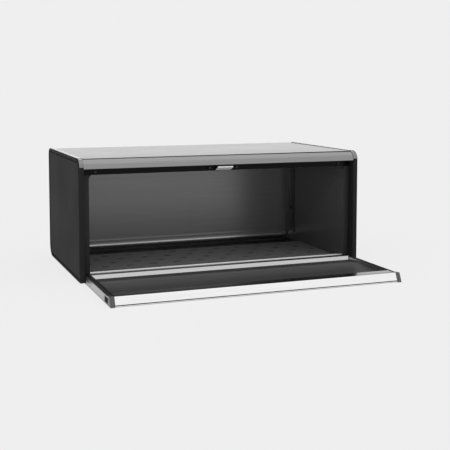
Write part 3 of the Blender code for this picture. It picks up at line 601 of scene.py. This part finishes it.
def floor_moulding():
    """Floor with staggered rows of low oval raised marks, coloured darker as a painted shade, and skirts
    that stand on the bottom sheet.
    """
    long_pitch, row_pitch = 0.0400, 0.0290
    half_long, half_short, height = 0.0070, 0.0038, 0.0007
    margin = 0.008
    step = 0.00155
    columns = round((tray_high.x - tray_low.x) / step)
    rows = round((tray_high.y - tray_low.y) / step)
    bm = bmesh.new()

    def lift(x, y):
        if min(x - tray_low.x, tray_high.x - x, y - tray_low.y, tray_high.y - y) < margin:
            return 0.0
        row = round((y - tray_low.y) / row_pitch)
        dy = y - tray_low.y - row * row_pitch
        shift = 0.5 * long_pitch * (row % 2)
        dx = (x - tray_low.x - shift + long_pitch / 2) % long_pitch - long_pitch / 2
        away = (dx / half_long) ** 2 + (dy / half_short) ** 2
        return height * max(0.0, 1 - away) ** 0.5 if away < 1 else 0.0

    top = tray_high.z - height
    grid = []
    for i in range(columns + 1):
        x = tray_low.x + (tray_high.x - tray_low.x) * i / columns
        line = []
        for j in range(rows + 1):
            y = tray_low.y + (tray_high.y - tray_low.y) * j / rows
            line.append(bm.verts.new((x, y, top + lift(x, y))))
        grid.append(line)
    for i in range(columns):
        for j in range(rows):
            face = bm.faces.new((grid[i][j], grid[i + 1][j], grid[i + 1][j + 1], grid[i][j + 1]))
            # Raised marks take the darker plastic: painted shade.
            if face.calc_center_median().z > top + height / 4:
                face.material_index = 1
    rim = [line[0] for line in grid] + grid[-1][1:] + [line[-1] for line in reversed(grid[:-1])]
    rim += list(reversed(grid[0][1:-1]))
    foot = [bm.verts.new((v.co.x, v.co.y, tray_low.z)) for v in rim]
    for index in range(len(rim)):
        after = (index + 1) % len(rim)
        bm.faces.new((rim[index], foot[index], foot[after], rim[after]))
    bm.faces.new(foot)
    made = made_object("floor_moulding", bm, [LOOKS["tray"], LOOKS["tray_mark"]], 60)
    place(made, "floor_tray")


def header_screw_piece(node):
    """Pan head with a cross recess, on its shank, facing the front."""
    low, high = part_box(node)
    centre = (low + high) / 2
    radius = (high.x - low.x) / 2
    head = SCREW_HEAD
    profile = [
        (0, -(high.y - low.y - head)),
        (radius * 0.54, -(high.y - low.y - head)),
        (radius * 0.54, 0),
        (radius, 0),
        (radius, head * 0.35),
        (radius * 0.93, head * 0.65),
        (radius * 0.75, head * 0.88),
        (radius * 0.5, head),
        (0, head),
    ]
    made = turned(node + "_fine", profile, [LOOKS["fastener"]])
    for angle in (45, 135):
        bm = bmesh.new()
        bmesh.ops.create_cube(bm, size=1)
        bmesh.ops.scale(bm, vec=(radius * 1.1, radius * 0.22, head), verts=bm.verts)
        bmesh.ops.translate(bm, vec=(0, 0, head), verts=bm.verts)
        cutter = made_object("recess", bm, [])
        cutter.rotation_euler = (0, 0, math.radians(angle))
        bpy.context.view_layer.update()
        cut_with(made, cutter)
    turn_to_front(made, (centre.x, low.y + head, centre.z))
    place(made, node)


def turn_to_front(made, location):
    """Turns a piece built along Z so that its top faces -Y, into its mesh."""
    for vertex in made.data.vertices:
        x, y, z = vertex.co
        vertex.co = (location[0] + x, location[1] - z, location[2] + y)
    made.data.update()


def rivet_piece(word, side):
    """Domed rivet head on its shank, facing the inside of the bin."""
    node = f"strip_rivet_{word}"
    low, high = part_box(node)
    centre = (low + high) / 2
    radius = (high.z - low.z) / 2
    dome = RIVET_DOME
    shank = high.x - low.x - dome
    profile = [(0, -shank), (radius * 0.59, -shank), (radius * 0.59, 0), (radius * 0.98, 0)]
    for step in range(11):
        angle = math.radians(90) * step / 10
        profile.append((radius * math.cos(angle), dome * (0.18 + 0.82 * math.sin(angle))))
    profile[-1] = (0, dome)
    made = turned(node + "_fine", profile, [LOOKS["fastener"]])
    seat = high.x - dome if side < 0 else low.x + dome
    for vertex in made.data.vertices:
        x, y, z = vertex.co
        vertex.co = (seat - side * z, centre.y + side * x, centre.z + y)
    made.data.update()
    place(made, node)


def liner_piece(word):
    """Inner side wall whose front flange takes a darker plastic than the wall behind it, a painted shade."""
    node = f"side_liner_{word}"
    made = fine_copy(node, [LOOKS["liner"], LOOKS["jamb"]], 0.0004)
    for face in made.data.polygons:
        # Faces of the front flange take the darker plastic: painted shade.
        if face.center.y < liner_low.y + SHEET:
            face.material_index = 1
    place(made, node)


# ---------------------------------------------------------------- door pieces

def grip_reach(lift):
    """How far the sloped free edge reaches at a lift above the hinge axis."""
    return DOOR_REACH - GRIP_BEVEL * (lift + HALF_DOOR) / (2 * HALF_DOOR)


def door_outer_sheet():
    start = hinge.y - skin_low.y
    path = [
        (start, -HALF_DOOR),
        (-HALF_DOOR, -HALF_DOOR, HALF_DOOR * 0.9999, QUARTER),
        (-HALF_DOOR, HALF_DOOR, HALF_DOOR * 0.9999, QUARTER),
        (hinge.y - seal_high.y - GAP, HALF_DOOR),
    ]
    outer, inner = sheet(path, SHEET)
    paths = (in_door(outer), in_door(inner))
    # The inner side takes the darker inner steel: a painted shade.
    looks = [LOOKS["steel"], LOOKS["inner_steel"]]
    made = bent_sheet("door_outer_sheet", paths, skin_low.x, skin_high.x, looks)
    place(made, "door_skin")


def hinge_side_fold():
    """Flat rim, 45 degree wall, and the web down to the outer sheet, with real fold rounds; a lighter copy
    of the steel paints light on the fold and makes the wall bright.
    """
    recess = door_panel_start_lift()
    wall_foot = hinge.y - door_panel_high.y - GAP
    rim_end = wall_foot - (HALF_DOOR - recess)
    floor = hinge_rail_low.z - hinge.z + SHEET
    path = [
        (hinge.y - hinge_rail_high.y, HALF_DOOR),
        (rim_end, HALF_DOOR, RECESS_FOLD * 2),
        (wall_foot, recess, SHEET * 1.2),
        (wall_foot, floor, SHEET * 1.2),
        (hinge.y - hinge_rail_low.y, floor),
    ]
    outer, inner = sheet(path, SHEET)
    paths = (in_door(outer), in_door(inner))
    looks = [LOOKS["fold_steel"]]
    made = bent_sheet("hinge_side_fold", paths, hinge_rail_low.x, hinge_rail_high.x, looks)
    place(made, "door_hinge_rail")


def door_panel_start_lift():
    """Lift of the recessed panel's flat surface above the hinge axis."""
    return HALF_DOOR - RECESS


def recessed_panel():
    """Panel with a crisp groove and a soft swelling ridge along the door."""
    lift = door_panel_start_lift()
    start = hinge.y - door_panel_high.y
    end = hinge.y - door_panel_low.y
    low = door_panel_low.z - hinge.z
    ridge_height, ridge_half = door_panel_high.z - hinge.z - lift, 0.012
    groove_depth, groove_half = 0.0007, 0.0013
    outline = [(start, low), (end, low), (end, lift)]
    for step in range(25):
        across = 1 - 2 * step / 24
        rise = ridge_height * 0.5 * (1 + math.cos(math.pi * across))
        outline.append((PANEL_RIDGE + ridge_half * across, lift + rise))
    for step in range(13):
        across = 1 - 2 * step / 12
        drop = groove_depth * 0.5 * (1 + math.cos(math.pi * across))
        outline.append((PANEL_GROOVE + groove_half * across, lift - drop))
    outline.append((start, lift))
    looks = [LOOKS["door_panel"]]
    made = prism_x("recessed_panel", in_door(outline), door_panel_low.x, door_panel_high.x, looks)
    place(made, "door_inner_panel")


def front_channel():
    start = hinge.y - front_rail_high.y
    top_end = hinge.y - front_rail_low.y
    floor = front_rail_low.z - hinge.z
    path = [
        (top_end, HALF_DOOR),
        (start, HALF_DOOR, SHEET * 1.2),
        (start, floor, SHEET * 1.2),
        (start + FRONT_RAIL_FOOT, floor),
    ]
    outer, inner = sheet(path, -SHEET)
    paths = (in_door(outer), in_door(inner))
    # The channel takes the darker door steel: a painted shade.
    looks = [LOOKS["door_steel"]]
    made = bent_sheet("front_channel", paths, front_rail_low.x, front_rail_high.x, looks)
    place(made, "door_front_rail")


def grip_piece():
    """Bright strip round the free edge, with the fine groove of its hem above the lower fold; the groove and
    the downward faces take a darker steel, a painted shade.
    """
    inner_reach = DOOR_REACH - GRIP_BEVEL
    path = [
        (inner_reach - 4 * GRIP_SHEET + GAP, HALF_DOOR),
        (inner_reach, HALF_DOOR, GRIP_SHEET * 1.2),
        (DOOR_REACH, -HALF_DOOR, GRIP_SHEET * 1.2),
        (DOOR_REACH - GRIP_HEM, -HALF_DOOR),
    ]
    outer, inner = sheet(path, GRIP_SHEET)
    paths = (in_door(outer), in_door(inner))
    made = bent_sheet("grip_trim", paths, strip_low.x, strip_high.x, [LOOKS["trim"], LOOKS["hem"]])
    cut_with(made, hem_groove())
    for face in made.data.polygons:
        reach, lift = hinge.y - face.center.y, face.center.z - hinge.z
        in_groove = abs(lift - HEM_LIFT + HALF_DOOR) < HEM_WIDTH and reach < grip_reach(lift) - HEM_DEPTH / 5
        # Groove and downward faces take the darker hem steel: painted shade.
        face.material_index = 1 if in_groove or face.normal.z < -LEANING else 0
    place(made, "grip_strip")


def hem_groove():
    """Cutter for the fine V groove along the face of the grip strip."""
    lift = HEM_LIFT - HALF_DOOR
    beyond = GRIP_SHEET
    outline = [
        (grip_reach(lift) - HEM_DEPTH, lift),
        (grip_reach(lift) + beyond, lift + HEM_WIDTH),
        (grip_reach(lift) + beyond, lift - HEM_WIDTH),
    ]
    return prism_x("hem_groove", in_door(outline), strip_low.x - beyond, strip_high.x + beyond, [])


# ---------------------------------------------------------------- stage

FLOOR_ALBEDO = 0.80
FLOOR_GLOW = 0.885
FLOOR_SHADOW = 0.12
BACKDROP = 0.863
FRONT_LIGHT = 0.89
BACK_LIGHT = 0.88
OVERHEAD = 0.27
BEHIND_DARK = 0.85


def stage_floor():
    """Pale floor that keeps its own even tone and still takes a faint contact shadow."""
    bpy.ops.mesh.primitive_plane_add(size=40, location=(0, 0, 0))
    floor = bpy.context.object
    floor.name = "studio_floor"
    made = bpy.data.materials.new("studio_floor")
    made.use_nodes = True
    tree = made.node_tree
    tree.nodes.clear()
    output = tree.nodes.new("ShaderNodeOutputMaterial")
    mix = tree.nodes.new("ShaderNodeMixShader")
    glow = tree.nodes.new("ShaderNodeEmission")
    matte = tree.nodes.new("ShaderNodeBsdfDiffuse")
    glow.inputs["Color"].default_value = (FLOOR_GLOW, FLOOR_GLOW, FLOOR_GLOW, 1)
    matte.inputs["Color"].default_value = (FLOOR_ALBEDO, FLOOR_ALBEDO, FLOOR_ALBEDO, 1)
    mix.inputs["Fac"].default_value = FLOOR_SHADOW
    tree.links.new(glow.outputs["Emission"], mix.inputs[1])
    tree.links.new(matte.outputs["BSDF"], mix.inputs[2])
    tree.links.new(mix.outputs["Shader"], output.inputs["Surface"])
    floor.data.materials.append(made)


def studio_world():
    """Pale backdrop and even light, brighter overhead, with a dim band behind the bin."""
    world = bpy.data.worlds.new("studio")
    bpy.context.scene.world = world
    world.use_nodes = True
    tree = world.node_tree
    tree.nodes.clear()
    output = tree.nodes.new("ShaderNodeOutputWorld")
    coords = tree.nodes.new("ShaderNodeTexCoord")
    split = tree.nodes.new("ShaderNodeSeparateXYZ")
    tree.links.new(coords.outputs["Generated"], split.inputs["Vector"])

    def between(source, start, end, low, high):
        node = tree.nodes.new("ShaderNodeMapRange")
        node.interpolation_type = "SMOOTHSTEP"
        node.inputs["From Min"].default_value = start
        node.inputs["From Max"].default_value = end
        node.inputs["To Min"].default_value = low
        node.inputs["To Max"].default_value = high
        tree.links.new(source, node.inputs["Value"])
        return node.outputs["Result"]

    along = between(split.outputs["Y"], -0.6, 0.5, FRONT_LIGHT, BACK_LIGHT)
    above = between(split.outputs["Z"], 0.60, 0.97, 0.0, OVERHEAD)
    behind = between(split.outputs["Y"], 0.20, 0.60, 0.0, BEHIND_DARK)
    rising = between(split.outputs["Z"], 0.20, 0.34, 0.0, 1.0)
    fading = between(split.outputs["Z"], 0.62, 0.80, 1.0, 0.0)

    def combined(operation, first, second):
        node = tree.nodes.new("ShaderNodeMath")
        node.operation = operation
        tree.links.new(first, node.inputs[0])
        tree.links.new(second, node.inputs[1])
        return node.outputs["Value"]

    dark = combined("MULTIPLY", combined("MULTIPLY", behind, rising), fading)
    total = combined("SUBTRACT", combined("ADD", along, above), dark)
    light = tree.nodes.new("ShaderNodeBackground")
    light.inputs["Color"].default_value = (1, 1, 1, 1)
    tree.links.new(total, light.inputs["Strength"])
    seen = tree.nodes.new("ShaderNodeBackground")
    seen.inputs["Color"].default_value = (BACKDROP, BACKDROP, BACKDROP, 1)
    rays = tree.nodes.new("ShaderNodeLightPath")
    choose = tree.nodes.new("ShaderNodeMixShader")
    tree.links.new(rays.outputs["Is Camera Ray"], choose.inputs["Fac"])
    tree.links.new(light.outputs["Background"], choose.inputs[1])
    tree.links.new(seen.outputs["Background"], choose.inputs[2])
    tree.links.new(choose.outputs["Shader"], output.inputs["Surface"])


def studio_camera():
    """Eye a little above the bin and to its left, turned right and slightly down."""
    data = bpy.data.cameras.new("camera")
    camera = bpy.data.objects.new("camera", data)
    bpy.context.scene.collection.objects.link(camera)
    data.sensor_width = 36.0
    data.lens = 72.648
    data.shift_y = -0.15
    data.clip_start, data.clip_end = 0.05, 60.0
    camera.location = (-0.50447, -1.36448, 0.29959)
    camera.rotation_euler = (math.radians(90 - 4.725), 0, math.radians(-20.8850))
    bpy.context.scene.camera = camera


def main():
    scene = bpy.context.scene
    scene.view_settings.view_transform = "Standard"
    scene.view_settings.look = "None"
    studio_camera()
    stage_floor()
    studio_world()
    casing_sheet()
    inner_pan()
    floor_moulding()
    for word, side in SIDES:
        side_panel_piece(word, side)
        rim_strip(word, side)
    for node in ("catch_screw_left", "catch_screw_right", "rail_screw_left", "rail_screw_right"):
        header_screw_piece(node)
    for word, side in SIDES:
        rivet_piece(word, side)
        liner_piece(word)
    door_outer_sheet()
    hinge_side_fold()
    recessed_panel()
    front_channel()
    grip_piece()
    copies = {
        "header_rail": "gloss", "magnet_housing": "gloss", "magnet": "nickel",
        # The sill takes the lighter sill steel: painted light.
        "front_sill": "sill_steel",
    }
    per_side = {
        "rear_corner_strip_": "strip_steel", "grip_end_cap_": "grey",
        "door_side_rail_": "rail_steel", "door_bumper_": "rubber", "door_seal_": "seal",
        "hinge_block_": "black", "hinge_bush_": "grey", "hinge_pin_": "fastener",
        "foot_front_": "rubber", "foot_rear_": "rubber",
    }
    for word, _ in SIDES:
        copies.update({prefix + word: look for prefix, look in per_side.items()})
    for node, look in copies.items():
        place(fine_copy(node, [LOOKS[look]]), node)


main()
